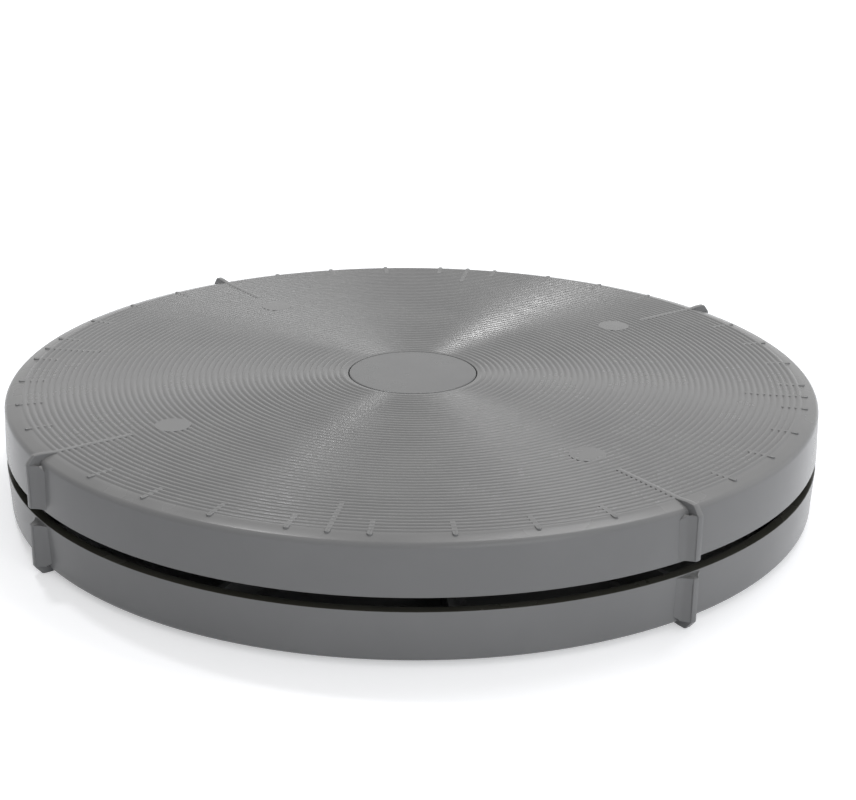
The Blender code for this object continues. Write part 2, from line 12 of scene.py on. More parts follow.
import bmesh
import bpy
from mathutils import Matrix, Quaternion, Vector

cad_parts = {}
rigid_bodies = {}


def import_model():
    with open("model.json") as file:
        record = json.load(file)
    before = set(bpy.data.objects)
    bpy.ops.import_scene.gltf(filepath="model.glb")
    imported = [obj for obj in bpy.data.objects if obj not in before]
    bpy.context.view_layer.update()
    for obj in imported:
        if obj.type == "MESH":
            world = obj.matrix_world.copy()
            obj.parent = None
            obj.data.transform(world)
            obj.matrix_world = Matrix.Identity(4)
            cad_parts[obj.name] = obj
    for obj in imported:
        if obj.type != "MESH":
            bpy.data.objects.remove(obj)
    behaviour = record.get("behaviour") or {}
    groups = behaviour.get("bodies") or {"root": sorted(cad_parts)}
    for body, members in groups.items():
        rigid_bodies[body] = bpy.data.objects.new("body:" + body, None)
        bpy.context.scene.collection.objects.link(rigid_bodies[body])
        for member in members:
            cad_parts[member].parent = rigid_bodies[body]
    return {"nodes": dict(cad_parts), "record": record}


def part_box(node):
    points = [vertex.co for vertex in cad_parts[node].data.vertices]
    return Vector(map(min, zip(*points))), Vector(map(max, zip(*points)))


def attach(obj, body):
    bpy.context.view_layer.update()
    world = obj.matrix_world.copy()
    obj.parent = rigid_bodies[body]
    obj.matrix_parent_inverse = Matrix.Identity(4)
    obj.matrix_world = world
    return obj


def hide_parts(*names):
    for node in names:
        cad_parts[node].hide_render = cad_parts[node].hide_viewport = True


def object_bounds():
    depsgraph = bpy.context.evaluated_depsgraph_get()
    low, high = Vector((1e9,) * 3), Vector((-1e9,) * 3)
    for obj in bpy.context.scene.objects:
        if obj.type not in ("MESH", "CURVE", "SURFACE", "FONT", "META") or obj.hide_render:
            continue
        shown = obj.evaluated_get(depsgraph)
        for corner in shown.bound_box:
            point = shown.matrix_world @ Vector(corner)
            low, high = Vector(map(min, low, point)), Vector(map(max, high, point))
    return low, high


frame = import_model()
cad_low, cad_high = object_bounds()
MM = 0.001
print("nodes in the frame:", len(frame["nodes"]))
print("size in mm:", [round(side / MM, 1) for side in cad_high - cad_low])

# %% [markdown]
# ## Camera
# The picture looks down at about 20 degrees, past one rib of the plate, so that two grip lugs show at the
# front. A camera can be set by turning it by hand or by aiming it. Here it is aimed at a point near the
# middle of the disc and then rolled by less than a degree, because both points can be read as real places
# beside the disc.

# %% Camera
PICTURE_WIDTH = 856
FOCAL_LENGTH_IN_PIXELS = 1633.0
SENSOR_WIDTH = 36.0
NEAREST_SEEN = 0.01
CAMERA_PLACE = Vector((-0.3388, -0.4822, 0.2484))
CAMERA_AIM = Vector((0.0065, -0.0011, 0.0298))
CAMERA_ROLL = math.radians(0.55)

camera_data = bpy.data.cameras.new("camera")
camera_data.sensor_width = SENSOR_WIDTH
camera_data.lens = FOCAL_LENGTH_IN_PIXELS * SENSOR_WIDTH / PICTURE_WIDTH
camera_data.clip_start = NEAREST_SEEN
camera = bpy.data.objects.new("camera", camera_data)
bpy.context.scene.collection.objects.link(camera)
camera.location = CAMERA_PLACE
camera.rotation_mode = "QUATERNION"
aim = (CAMERA_AIM - CAMERA_PLACE).to_track_quat("-Z", "Y")
camera.rotation_quaternion = aim @ Quaternion((0, 0, 1), CAMERA_ROLL)
bpy.context.scene.camera = camera
print("lens in mm:", round(camera_data.lens, 2))

# %% [markdown]
# ## Sizes from the frame
# The fine pieces have to lie where the plain solids lie. The heights and radii that the solids already
# hold are read from them, and only the finer sizes are new values. A shell is described once, as the upper
# one, with its height measured from the mid-plane between the two halves.

# %% Read the heights and radii
MID_HEIGHT = (cad_low.z + cad_high.z) / 2


def reach(node):
    """Outer radius, lowest and highest height above the mid-plane of a node that is centred on the axis."""
    low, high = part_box(node)
    return high.x, low.z - MID_HEIGHT, high.z - MID_HEIGHT


LUG_FACE, HUB_Z, RIB_Z = reach("upper_shell")
CAP_RADIUS, _, TOP_Z = reach("upper_centre_cap")
RACE_RADIUS, _, RACE_BACK_Z = reach("upper_race")
print("plate above the mid-plane in mm:", round(TOP_Z / MM, 2))

# %% [markdown]
# ## Shader helpers
# Every finish of the disc is made from noise and from the place on the piece, with no pictures. Nodes can
# be placed one by one, with a line for each value and link. A few helpers are used here, so that a
# material reads as a list of what it does. They add a node with its values, link or set a socket, do a
# sum, and make a mask that runs smoothly between two levels.

# %% Nodes
def add_node(tree, kind, values=None, **settings):
    """Adds a node, first with its settings and then with the values of its sockets."""
    node = tree.nodes.new(kind)
    for name, setting in settings.items():
        setattr(node, name, setting)
    for socket, value in (values or {}).items():
        node.inputs[socket].default_value = value
    return node


def connect(tree, value, socket):
    """Links a socket to another one, or gives it a plain value."""
    if isinstance(value, bpy.types.NodeSocket):
        tree.links.new(value, socket)
    else:
        socket.default_value = value


def add_math(tree, operation, *terms, clamp=False):
    """Math node whose terms are sockets or plain numbers. Returns its output."""
    node = add_node(tree, "ShaderNodeMath", operation=operation, use_clamp=clamp)
    for term, socket in zip(terms, node.inputs):
        connect(tree, term, socket)
    return node.outputs[0]


def add_range(tree, value, low, high, new_low=0.0, new_high=1.0):
    """Maps a range of values to another one, smoothly and without leaving it."""
    node = add_node(
        tree, "ShaderNodeMapRange", interpolation_type="SMOOTHSTEP",
        values={"From Min": low, "From Max": high, "To Min": new_low, "To Max": new_high},
    )
    tree.links.new(value, node.inputs["Value"])
    return node.outputs["Result"]


print("helpers:", [helper.__name__ for helper in (add_node, connect, add_math, add_range)])

# %% [markdown]
# A pattern that several finishes share is a node group, built once. Its sockets are numbers. All patterns
# start from noise or from a height or radius on the piece, both on the piece's own Object coordinates, so
# that they stay with it when the disc turns.

# %% Groups, noise and places
def new_group(name, inputs, outputs):
    """Starts a node group. Returns its tree, its input node and its output node."""
    tree = bpy.data.node_groups.new(name, "ShaderNodeTree")
    for label, value in inputs.items():
        socket = tree.interface.new_socket(label, in_out="INPUT", socket_type="NodeSocketFloat")
        socket.default_value = value
    for label in outputs:
        tree.interface.new_socket(label, in_out="OUTPUT", socket_type="NodeSocketFloat")
    print("group", name, "gives", outputs)
    return tree, tree.nodes.new("NodeGroupInput"), tree.nodes.new("NodeGroupOutput")


def add_noise(tree, scale, detail, roughness=0.5):
    """Noise on the piece's own coordinates, at a scale that is a number or a socket. Returns its value."""
    place = add_node(tree, "ShaderNodeTexCoord")
    noise = add_node(tree, "ShaderNodeTexNoise", {"Detail": detail, "Roughness": roughness})
    tree.links.new(place.outputs["Object"], noise.inputs["Vector"])
    connect(tree, scale, noise.inputs["Scale"])
    return noise.outputs["Fac"]


def split_vector(tree, vector):
    """The outputs X, Y and Z of a place or a direction."""
    parts = add_node(tree, "ShaderNodeSeparateXYZ")
    tree.links.new(vector, parts.inputs[0])
    return parts.outputs


print("helpers:", [helper.__name__ for helper in (new_group, add_noise, split_vector)])

# %% [markdown]
# ### Moulded grain
# A satin plastic moulding takes its dull sheen from the mould, whose steel is eroded to a fine grain of a
# few tenths of a millimetre. A picture of such grain would tile and stretch round the rim. Noise on the
# piece's own coordinates has the same grain on the plate, the rim and the skirt. A second, slow noise
# gives the faint clouds that polymer and colour leave where they flow round the ribs.

# %% Moulded grain
grain_tree, grain_in, grain_out = new_group(
    "moulded_grain", {"Grain Scale": 2600.0, "Cloud Scale": 22.0}, ["Height", "Cloud"]
)
grain_noise = add_noise(grain_tree, grain_in.outputs["Grain Scale"], detail=3.0, roughness=0.6)
cloud_noise = add_noise(grain_tree, grain_in.outputs["Cloud Scale"], detail=4.0, roughness=0.55)
grain_tree.links.new(grain_noise, grain_out.inputs["Height"])
grain_tree.links.new(cloud_noise, grain_out.inputs["Cloud"])

# %% [markdown]
# ### Handling wear and painted gap shade
# Feet polish what they stand on, which are the crests of the ridges. The two edges that face each other
# across the gap are painted dark, as shade for the shadow that fills the gap. The distance from the
# mid-plane finds both, on the upper and on the lower shell alike. The crests are worn in patches, and the
# painted shade is even.

# %% Handling wear and painted gap shade
PATCH_SCALE = 160.0
PATCH_RANGE = (0.42, 0.62)
GAP_SHADE_RANGE = (0.5, 0.9)
wear_and_gap_shade_tree, wear_and_gap_shade_in, wear_and_gap_shade_out = new_group(
    "handling_wear_and_painted_gap_shade", {"Mid Height": 0.0, "Edge": 0.0, "Crest": 0.0, "Width": MM}, ["Edges", "Crests"]
)
level_place = add_node(wear_and_gap_shade_tree, "ShaderNodeTexCoord").outputs["Object"]
level_z = split_vector(wear_and_gap_shade_tree, level_place)["Z"]
level_offset = add_math(wear_and_gap_shade_tree, "SUBTRACT", level_z, wear_and_gap_shade_in.outputs["Mid Height"])
level_height = add_math(wear_and_gap_shade_tree, "ABSOLUTE", level_offset)


def near_level(level):
    """Mask that is one at a height from the mid-plane and falls to nought within the width."""
    offset = add_math(wear_and_gap_shade_tree, "SUBTRACT", level_height, wear_and_gap_shade_in.outputs[level])
    away = add_math(wear_and_gap_shade_tree, "ABSOLUTE", offset)
    share = add_math(wear_and_gap_shade_tree, "DIVIDE", away, wear_and_gap_shade_in.outputs["Width"])
    return add_math(wear_and_gap_shade_tree, "SUBTRACT", 1.0, share, clamp=True)


wear_noise = add_noise(wear_and_gap_shade_tree, PATCH_SCALE, detail=4.0, roughness=0.6)
wear_patches = add_range(wear_and_gap_shade_tree, wear_noise, *PATCH_RANGE)
worn_crests = add_math(wear_and_gap_shade_tree, "MULTIPLY", near_level("Crest"), wear_patches)
# Painted shade: a dark band on the skirts' edges at the gap stands in for the gap's shadow.
wear_and_gap_shade_tree.links.new(add_range(wear_and_gap_shade_tree, near_level("Edge"), *GAP_SHADE_RANGE), wear_and_gap_shade_out.inputs["Edges"])
wear_and_gap_shade_tree.links.new(worn_crests, wear_and_gap_shade_out.inputs["Crests"])

# %% [markdown]
# ### Settled dust
# A little dust lies wherever a surface looks up and nothing wipes it. The direction of the surface gives
# the places, and noise breaks them into a thin, uneven film.

# %% Settled dust
DUST_SLOPE_RANGE = (0.75, 1.0)
DUST_PATCH_RANGE = (0.35, 0.7)
dust_tree, dust_in, dust_out = new_group("settled_dust", {"Scale": 45.0, "Amount": 0.1}, ["Film"])
dust_normal = add_node(dust_tree, "ShaderNodeNewGeometry").outputs["Normal"]
dust_up = add_range(dust_tree, split_vector(dust_tree, dust_normal)["Z"], *DUST_SLOPE_RANGE)
dust_noise = add_noise(dust_tree, dust_in.outputs["Scale"], detail=5.0)
dust_patches = add_range(dust_tree, dust_noise, *DUST_PATCH_RANGE)
dust_lies = add_math(dust_tree, "MULTIPLY", dust_up, dust_patches)
dust_film = add_math(dust_tree, "MULTIPLY", dust_lies, dust_in.outputs["Amount"])
dust_tree.links.new(dust_film, dust_out.inputs["Film"])

# %% [markdown]
# ### Turning marks
# A lathe or a grinding wheel leaves fine rings on races, washers and sleeves. They follow the distance
# from the axis and the height, so a wave along their sum makes them, and noise keeps them from looking
# ruled.

# %% Turning marks
MARK_NOISE_SCALE = 900.0
rings_tree, rings_in, rings_out = new_group("turning_marks", {"Pitch": 0.3 * MM}, ["Height", "Streaks"])
rings_place = split_vector(rings_tree, add_node(rings_tree, "ShaderNodeTexCoord").outputs["Object"])
rings_x = add_math(rings_tree, "POWER", rings_place["X"], 2.0)
rings_y = add_math(rings_tree, "POWER", rings_place["Y"], 2.0)
rings_radius = add_math(rings_tree, "SQRT", add_math(rings_tree, "ADD", rings_x, rings_y))
rings_depth = add_math(rings_tree, "ADD", rings_radius, rings_place["Z"])
rings_phase = add_math(rings_tree, "DIVIDE", rings_depth, rings_in.outputs["Pitch"])
rings_wave = add_math(rings_tree, "SINE", rings_phase)
rings_noise = add_noise(rings_tree, MARK_NOISE_SCALE, detail=3.0)
rings_height = add_math(rings_tree, "MULTIPLY", rings_wave, rings_noise)
rings_tree.links.new(rings_height, rings_out.inputs["Height"])
rings_tree.links.new(rings_noise, rings_out.inputs["Streaks"])

# %% [markdown]
# ## Materials
# Each material mixes its colours by masks, lets masks move the roughness a little, and sends the grain or
# the marks of the tool to a Bump node. Whatever is even over the whole surface is set on the shader
# itself.

# %% Start a material, mix its colours and give it relief
CLOUD_RANGE = (0.35, 0.65)
UNEVEN_RANGE = (0.3, 0.7)


def new_material(name, even):
    """Starts a material from values that are even all over. Returns it, its tree and its shader."""
    material = bpy.data.materials.new(name)
    material.use_nodes = True
    shader = material.node_tree.nodes["Principled BSDF"]
    for socket, value in even.items():
        shader.inputs[socket].default_value = value
    print("material", name, even)
    return material, material.node_tree, shader


def mix_colours(tree, factor, first, second):
    """Mixes two colours, each a colour or a socket, by a mask. Returns the result."""
    node = add_node(tree, "ShaderNodeMix", data_type="RGBA")
    tree.links.new(factor, node.inputs["Factor"])
    for label, colour in (("A", first), ("B", second)):
        socket = next(item for item in node.inputs if item.name == label and item.type == "RGBA")
        connect(tree, (*colour, 1.0) if isinstance(colour, tuple) else colour, socket)
    return next(item for item in node.outputs if item.type == "RGBA")


def add_bump(tree, shader, height, distance):
    bump = add_node(tree, "ShaderNodeBump", {"Distance": distance})
    tree.links.new(height, bump.inputs["Height"])
    tree.links.new(bump.outputs["Normal"], shader.inputs["Normal"])


print("helpers:", [helper.__name__ for helper in (new_material, mix_colours, add_bump)])

# %% [markdown]
# ### Satin grey shells
# The shells are mid-grey ABS with a satin grain. It could be one grey, but then the wide plate looks
# painted. So two greys mix in faint clouds, the worn crests shine a little more, the edges of the gap get a
# dark olive as painted shade for the shadow in the gap, and dust dulls what looks up.

# %% Satin plastic
SATIN_ROUGHNESS = 0.24
SATIN_RANGE = (SATIN_ROUGHNESS - 0.02, SATIN_ROUGHNESS + 0.03)
SATIN_SPECULAR = 0.2
# The dark olive of the gap's edges is painted shade.
GAP_SHADE_COLOUR = (0.045, 0.044, 0.036)
DUST_COLOUR = (0.34, 0.335, 0.325)
DUST_AMOUNT = 0.05
DUST_DULLING = 0.8
WEAR_AND_GAP_SHADE_WIDTH = 0.35 * MM
WEAR_POLISH = 0.07
SATIN_RELIEF = 0.012 * MM
SKIRT_GAP = 4.6 * MM


def satin_plastic(name, grey, cloud, crest_z):
    """Shell plastic whose parts at one height above the mid-plane are polished by use, and whose edges at
    the gap get painted shade.
    """
    material, tree, shader = new_material(
        name, {"Roughness": SATIN_ROUGHNESS, "Specular IOR Level": SATIN_SPECULAR}
    )
    levels = {"Mid Height": MID_HEIGHT, "Edge": SKIRT_GAP / 2, "Crest": crest_z, "Width": WEAR_AND_GAP_SHADE_WIDTH}
    grain = add_node(tree, "ShaderNodeGroup", node_tree=grain_tree)
    wear_and_gap_shade = add_node(tree, "ShaderNodeGroup", levels, node_tree=wear_and_gap_shade_tree)
    film = add_node(tree, "ShaderNodeGroup", {"Amount": DUST_AMOUNT}, node_tree=dust_tree).outputs["Film"]
    clouds = add_range(tree, grain.outputs["Cloud"], *CLOUD_RANGE)
    colour = mix_colours(tree, clouds, grey, cloud)
    # Painted shade: the edges at the gap are mixed towards dark olive, standing in for the shadow inside the
    # gap.
    colour = mix_colours(tree, wear_and_gap_shade.outputs["Edges"], colour, GAP_SHADE_COLOUR)
    colour = mix_colours(tree, film, colour, DUST_COLOUR)
    tree.links.new(colour, shader.inputs["Base Color"])
    polish = add_math(tree, "MULTIPLY", wear_and_gap_shade.outputs["Crests"], -WEAR_POLISH)
    dulled = add_math(tree, "MULTIPLY", film, DUST_DULLING)
    uneven = add_range(tree, grain.outputs["Cloud"], *UNEVEN_RANGE, *SATIN_RANGE)
    change = add_math(tree, "ADD", polish, dulled)
    tree.links.new(add_math(tree, "ADD", uneven, change), shader.inputs["Roughness"])
    add_bump(tree, shader, grain.outputs["Height"], SATIN_RELIEF)
    return material


# %% Shell plastic
SHELL_GREY = (0.190, 0.190, 0.191)
SHELL_CLOUD = (0.201, 0.201, 0.202)
RIDGE_HEIGHT = 0.45 * MM
CREST_Z = TOP_Z + RIDGE_HEIGHT
shell_finish = satin_plastic("satin_shell", SHELL_GREY, SHELL_CLOUD, CREST_Z)
print("nodes of the shell's material:", len(shell_finish.node_tree.nodes))

# %% [markdown]
# ### Smooth centre caps
# The caps are moulded apart from the shells, in the same plastic. They could share the shells' material.
# They get their own, because they are worn on their flat top and their grey is a shade darker: painted shade
# that tones down how bright their flat top looks under the lamps.

# %% Cap plastic
# Painted shade: the cap's grey is set darker than the shells' so that its flat top doesn't look too bright.
CAP_PAINTED_SHADE_GREY = (0.160, 0.161, 0.163)
CAP_PAINTED_SHADE_CLOUD = (0.168, 0.169, 0.171)
cap_finish_with_painted_shade = satin_plastic("cap_with_painted_shade", CAP_PAINTED_SHADE_GREY, CAP_PAINTED_SHADE_CLOUD, TOP_Z)
print("nodes of the cap's material:", len(cap_finish_with_painted_shade.node_tree.nodes))

# %% [markdown]
# ### Metals
# The races are turned and ground steel, the balls are polished, and the bolt, nut, washers and screws are
# plated with zinc, whose crystals give a faint cloudy pattern. All of them are metallic, so the base
# colour is the colour of the reflection, and the finish lies in the roughness and in the marks of the
# tools.

# %% Steel and zinc
STREAK_SHARE = 0.2


def metal(name, light, dark, roughness, pitch, relief, cloud_scale):
    material, tree, shader = new_material(name, {"Roughness": roughness, "Metallic": 1.0})
    marks = add_node(tree, "ShaderNodeGroup", {"Pitch": pitch}, node_tree=rings_tree)
    clouds = add_range(tree, add_noise(tree, cloud_scale, detail=4.0, roughness=0.6), *CLOUD_RANGE)
    tree.links.new(mix_colours(tree, clouds, light, dark), shader.inputs["Base Color"])
    smooth, rough = roughness * (1 - STREAK_SHARE), roughness * (1 + STREAK_SHARE)
    streaked = add_range(tree, marks.outputs["Streaks"], *UNEVEN_RANGE, smooth, rough)
    tree.links.new(streaked, shader.inputs["Roughness"])
    add_bump(tree, shader, marks.outputs["Height"], relief)
    return material


race_finish = metal(
    "ground_race", light=(0.55, 0.55, 0.56), dark=(0.48, 0.48, 0.49), roughness=0.28,
    pitch=0.08 * MM, relief=0.004 * MM, cloud_scale=120.0,
)
ball_finish = metal(
    "polished_ball", light=(0.62, 0.62, 0.63), dark=(0.58, 0.58, 0.59), roughness=0.10,
    pitch=0.5 * MM, relief=0.0005 * MM, cloud_scale=300.0,
)
zinc_finish = metal(
    "zinc_plate", light=(0.60, 0.61, 0.63), dark=(0.50, 0.51, 0.54), roughness=0.34,
    pitch=0.15 * MM, relief=0.003 * MM, cloud_scale=700.0,
)

# %% [markdown]
# ### Nylon and acetal
# The cage and the bushes are unpainted bearing plastics: natural nylon is a warm, slightly waxy off-white,
# and acetal is whiter and slicker. Light goes a little way into both, which the shader does with a short
# subsurface radius that is the same all over.

# %% Bearing plastics
WAX_WEIGHT = 0.15
WAX_DEPTH = 0.4 * MM
BEARING_GRAIN = {"Grain Scale": 1800.0, "Cloud Scale": 60.0}
BEARING_RELIEF = 0.01 * MM
BEARING_SPREAD = (-0.03, 0.04)


def bearing_plastic(name, pale, deep, roughness):
    material, tree, shader = new_material(
        name, {"Roughness": roughness, "Subsurface Weight": WAX_WEIGHT, "Subsurface Scale": WAX_DEPTH}
    )
    grain = add_node(tree, "ShaderNodeGroup", BEARING_GRAIN, node_tree=grain_tree)
    clouds = add_range(tree, grain.outputs["Cloud"], *UNEVEN_RANGE)
    tree.links.new(mix_colours(tree, clouds, pale, deep), shader.inputs["Base Color"])
    smooth, rough = (roughness + change for change in BEARING_SPREAD)
    uneven = add_range(tree, grain.outputs["Cloud"], *UNEVEN_RANGE, smooth, rough)
    tree.links.new(uneven, shader.inputs["Roughness"])
    add_bump(tree, shader, grain.outputs["Height"], BEARING_RELIEF)
    return material


nylon_finish = bearing_plastic(
    "natural_nylon", pale=(0.68, 0.65, 0.56), deep=(0.62, 0.59, 0.50), roughness=0.45
)
acetal_finish = bearing_plastic(
    "white_acetal", pale=(0.80, 0.79, 0.76), deep=(0.76, 0.75, 0.72), roughness=0.30
)

# %% [markdown]
# ## The shell
# The shell is one moulding. Its plate carries 52 round ridges, each a fine circle, between the cap's
# recess and a smooth border. The ridges could be a bump in the material, but at this grazing view they
# show their own shade and outline, so they are real geometry: a wave in the half section, eight points to
# a ridge. A power of the cosine makes the crests broad and the grooves between them narrow.

# %% Ridges
RIDGE_COUNT = 52
FIRST_CREST = 26.8 * MM
LAST_CREST = 144.6 * MM
POINTS_PER_RIDGE = 8
GROOVE_SHARPNESS = 2
RIDGE_PITCH = (LAST_CREST - FIRST_CREST) / (RIDGE_COUNT - 1)


def ridge_points():
    """Points of the plate's wave, from the valley inside the first crest to the one outside the last."""
    points = []
    start = FIRST_CREST - RIDGE_PITCH / 2
    for i in range(RIDGE_COUNT * POINTS_PER_RIDGE + 1):
        phase = 2 * math.pi * i / POINTS_PER_RIDGE
        rise = RIDGE_HEIGHT * (1 - ((1 + math.cos(phase)) / 2) ** GROOVE_SHARPNESS)
        points.append((start + RIDGE_PITCH * i / POINTS_PER_RIDGE, TOP_Z + rise))
    return points


print("ridge pitch in mm:", round(RIDGE_PITCH / MM, 2), "points:", len(ridge_points()))

# %% [markdown]
# ### Outlines
# Most shapes of the disc are either turned round its axis or cut from a flat outline. Both start from a
# chain of edges. Its corners can be rounded with short edges typed by hand, or by a vertex bevel, which
# only needs the size of the rounding. The bevel is used here, so each corner is a place and, where it is
# round, a size.

# %% Outlines
def outline(corners, flat=False, segments=3):
    """Closed chain of edges through (x, z) corners, or (x, y) if flat. A third value rounds a corner."""
    shape = bmesh.new()
    places = [(c[0], c[1], 0) if flat else (c[0], 0, c[1]) for c in corners]
    verts = [shape.verts.new(place) for place in places]
    for here, there in zip(verts, verts[1:]):
        shape.edges.new((here, there))
    shape.edges.new((verts[-1], verts[0]))
    for corner, vert in zip(corners, verts):
        if len(corner) == 3:
            bmesh.ops.bevel(
                shape, geom=[vert], offset=corner[2], offset_type="OFFSET", affect="VERTICES",
                segments=segments, profile=0.5, material=-1,
            )
    return shape


trial = outline([(0, 0), (1, 0, 0.2), (1, 1)])
print("points of a trial triangle with one round corner:", len(trial.verts))
trial.free()

# %% [markdown]
# ### The turned body
# The half section runs from the cap's recess over the ridges to the border, which falls a little before
# the rim turns down into the skirt. It comes back under the plate past the two ribs that seat the race,
# and round the hub, whose floor clamps the centre bolt. Heights that the solids hold come from the frame,
# and the walls and roundings between them are new values.

# %% Sizes of the skirt and the plate
SHELL_RADIUS = 152.4 * MM
WALL_DRAFT = 0.7 * MM
WALL_TOP = SHELL_RADIUS - WALL_DRAFT
SKIRT_THICKNESS = 3.6 * MM
SKIRT_INSIDE = SHELL_RADIUS - SKIRT_THICKNESS
SKIRT_ROOT_ROUND = 1.2 * MM
CROWN_WIDTH = 5.0 * MM
CROWN_DROP = 1.2 * MM
CROWN_ROUND = 0.8 * MM
RIM_FILLET = 1.6 * MM
EDGE_ROUND = 0.25 * MM
INNER_EDGE_ROUND = 0.3 * MM
PLATE_THICKNESS = 3.2 * MM
EDGE_Z = SKIRT_GAP / 2
UNDER_Z = TOP_Z - PLATE_THICKNESS
print("skirt height in mm:", round((TOP_Z - EDGE_Z) / MM, 1))

# %% Sizes of the seat and the hub
SEAT_GAP = 0.3 * MM
SEAT_RIB_WIDTH = 2.5 * MM
SEAT_ROOT_ROUND = 0.8 * MM
RACE_INNER = 85.04 * MM
RACE_SHOULDER = 1.8 * MM
SEAT_Z = RACE_BACK_Z + SEAT_GAP
SHOULDER_Z = SEAT_Z - RACE_SHOULDER
HUB_WALL = 2.2 * MM
HUB_FLOOR = 6.0 * MM
HUB_STRAIGHT = 5.1 * MM
HUB_ROOT_ROUND = 1.0 * MM
HUB_END_ROUND = 0.4 * MM
BORE_RADIUS = 7.2 * MM
WELL_RADIUS = 16.0 * MM
FLOOR_Z = HUB_Z + HUB_FLOOR
CAP_THICKNESS = 1.8 * MM
RECESS_RADIUS = CAP_RADIUS + SEAT_GAP
RECESS_Z = TOP_Z - CAP_THICKNESS - SEAT_GAP
RECESS_ROUND = 0.45 * MM
LEDGE_MARGIN = 2.9 * MM
print("race seat above the mid-plane in mm:", round(SEAT_Z / MM, 2))


# %% Half section
def shell_section():
    outer_seat = RACE_RADIUS + SEAT_GAP
    outer_rib = outer_seat + SEAT_RIB_WIDTH
    inner_rib = RACE_INNER + SEAT_RIB_WIDTH
    return [
        (RECESS_RADIUS, RECESS_Z),
        (RECESS_RADIUS, TOP_Z, RECESS_ROUND),
        *ridge_points(),
        (WALL_TOP - CROWN_WIDTH, TOP_Z, CROWN_ROUND),
        (WALL_TOP, TOP_Z - CROWN_DROP, RIM_FILLET),
        (SHELL_RADIUS, EDGE_Z, EDGE_ROUND),
        (SKIRT_INSIDE, EDGE_Z, INNER_EDGE_ROUND),
        (SKIRT_INSIDE, UNDER_Z, SKIRT_ROOT_ROUND),
        (outer_rib, UNDER_Z, SEAT_ROOT_ROUND),
        (outer_rib, SHOULDER_Z, INNER_EDGE_ROUND),
        (outer_seat, SHOULDER_Z, INNER_EDGE_ROUND),
        (outer_seat, UNDER_Z),
        (inner_rib, UNDER_Z),
        (inner_rib, SEAT_Z),
        (RACE_INNER, SEAT_Z),
        (RACE_INNER, UNDER_Z, SEAT_ROOT_ROUND),
        (RECESS_RADIUS + LEDGE_MARGIN, UNDER_Z),
        (WELL_RADIUS + HUB_WALL, FLOOR_Z + HUB_STRAIGHT, HUB_ROOT_ROUND),
        (WELL_RADIUS + HUB_WALL, HUB_Z, HUB_END_ROUND),
        (BORE_RADIUS, HUB_Z),
        (BORE_RADIUS, FLOOR_Z),
        (WELL_RADIUS, FLOOR_Z),
        (WELL_RADIUS, RECESS_Z),
    ]


print("corners of the half section:", len(shell_section()))

# %% [markdown]
# A turned piece could use a Screw modifier. The bmesh operator spin does the same at once, so that the
# ribs and bosses can join the finished ring. A full spin ends where it began, so its seam is merged.

# %% Turn the body
SHELL_STEPS = 180
SECTION_SEGMENTS = 6
MERGE_DISTANCE = MM / 1000


def turn(shape, steps):
    """Spins a closed half section right round Z, closes the seam and faces the surface outwards."""
    bmesh.ops.spin(
        shape, geom=shape.verts[:] + shape.edges[:], cent=(0, 0, 0), axis=(0, 0, 1), dvec=(0, 0, 0),
        angle=2 * math.pi, steps=steps, use_merge=True, use_normal_flip=False, use_duplicate=False,
    )
    bmesh.ops.remove_doubles(shape, verts=shape.verts[:], dist=MERGE_DISTANCE)
    bmesh.ops.recalc_face_normals(shape, faces=shape.faces[:])
    return shape


shell_shape = turn(outline(shell_section(), segments=SECTION_SEGMENTS), SHELL_STEPS)
print("faces of the turned body:", len(shell_shape.faces))

# %% [markdown]
# ### Slabs and soft edges
# Ribs, marks, webs and legs are flat bars. A bar could be a scaled cube, but most of them have an outline
# of their own, so the outline is filled and drawn out. Where they show, their long edges are then
# bevelled, because no moulded edge is quite sharp.

# %% Slabs and soft edges
Y_AXIS, Z_AXIS = 1, 2


def slab(corners, low, high, flat=False):
    """Fills an outline and draws it out between two levels, along Z if it lies flat and else along Y."""
    shape = outline(corners, flat=flat)
    filled = bmesh.ops.contextual_create(shape, geom=shape.edges[:])["faces"]
    along = Vector((0, 0, 1)) if flat else Vector((0, 1, 0))
    bmesh.ops.translate(shape, vec=along * low, verts=shape.verts[:])
    drawn = bmesh.ops.extrude_face_region(shape, geom=filled)
    far = [item for item in drawn["geom"] if isinstance(item, bmesh.types.BMVert)]
    bmesh.ops.translate(shape, vec=along * (high - low), verts=far)
    bmesh.ops.recalc_face_normals(shape, faces=shape.faces[:])
    return shape


def edges_at(shape, axis, level):
    """Edges that lie at one level along an axis."""
    return [
        edge for edge in shape.edges
        if all(abs(vert.co[axis] - level) < MERGE_DISTANCE for vert in edge.verts)
    ]


def soften(shape, edges, radius, segments=2):
    bmesh.ops.bevel(
        shape, geom=edges, offset=radius, offset_type="OFFSET", affect="EDGES", segments=segments,
        profile=0.5, material=-1, clamp_overlap=True,
    )
    return shape


trial = slab([(0, 0), (1, 0), (1, 1)], low=0, high=2)
print("volume of a trial slab, above nought if it faces outwards:", round(trial.calc_volume(signed=True), 2))
trial.free()

# %% [markdown]
# ### Rings of copies
# Ribs, marks, webs and bosses repeat round the axis. Each copy is turned before it joins the shape, and
# not after, because the new vertices of a bmesh may take the places of deleted ones and so don't always
# come last.

# %% Rings of copies
def add_copies(shape, island, angles):
    """Adds an island to a shape once for each angle round Z."""
    mesh = bpy.data.meshes.new("island")
    for angle in angles:
        island.to_mesh(mesh)
        mesh.transform(Matrix.Rotation(angle, 4, "Z"))
        shape.from_mesh(mesh)
    island.free()
    bpy.data.meshes.remove(mesh)


def even_angles(count):
    return [2 * math.pi * i / count for i in range(count)]


RIB_COUNT = 4
print("angles of the ribs:", [round(math.degrees(angle)) for angle in even_angles(RIB_COUNT)])

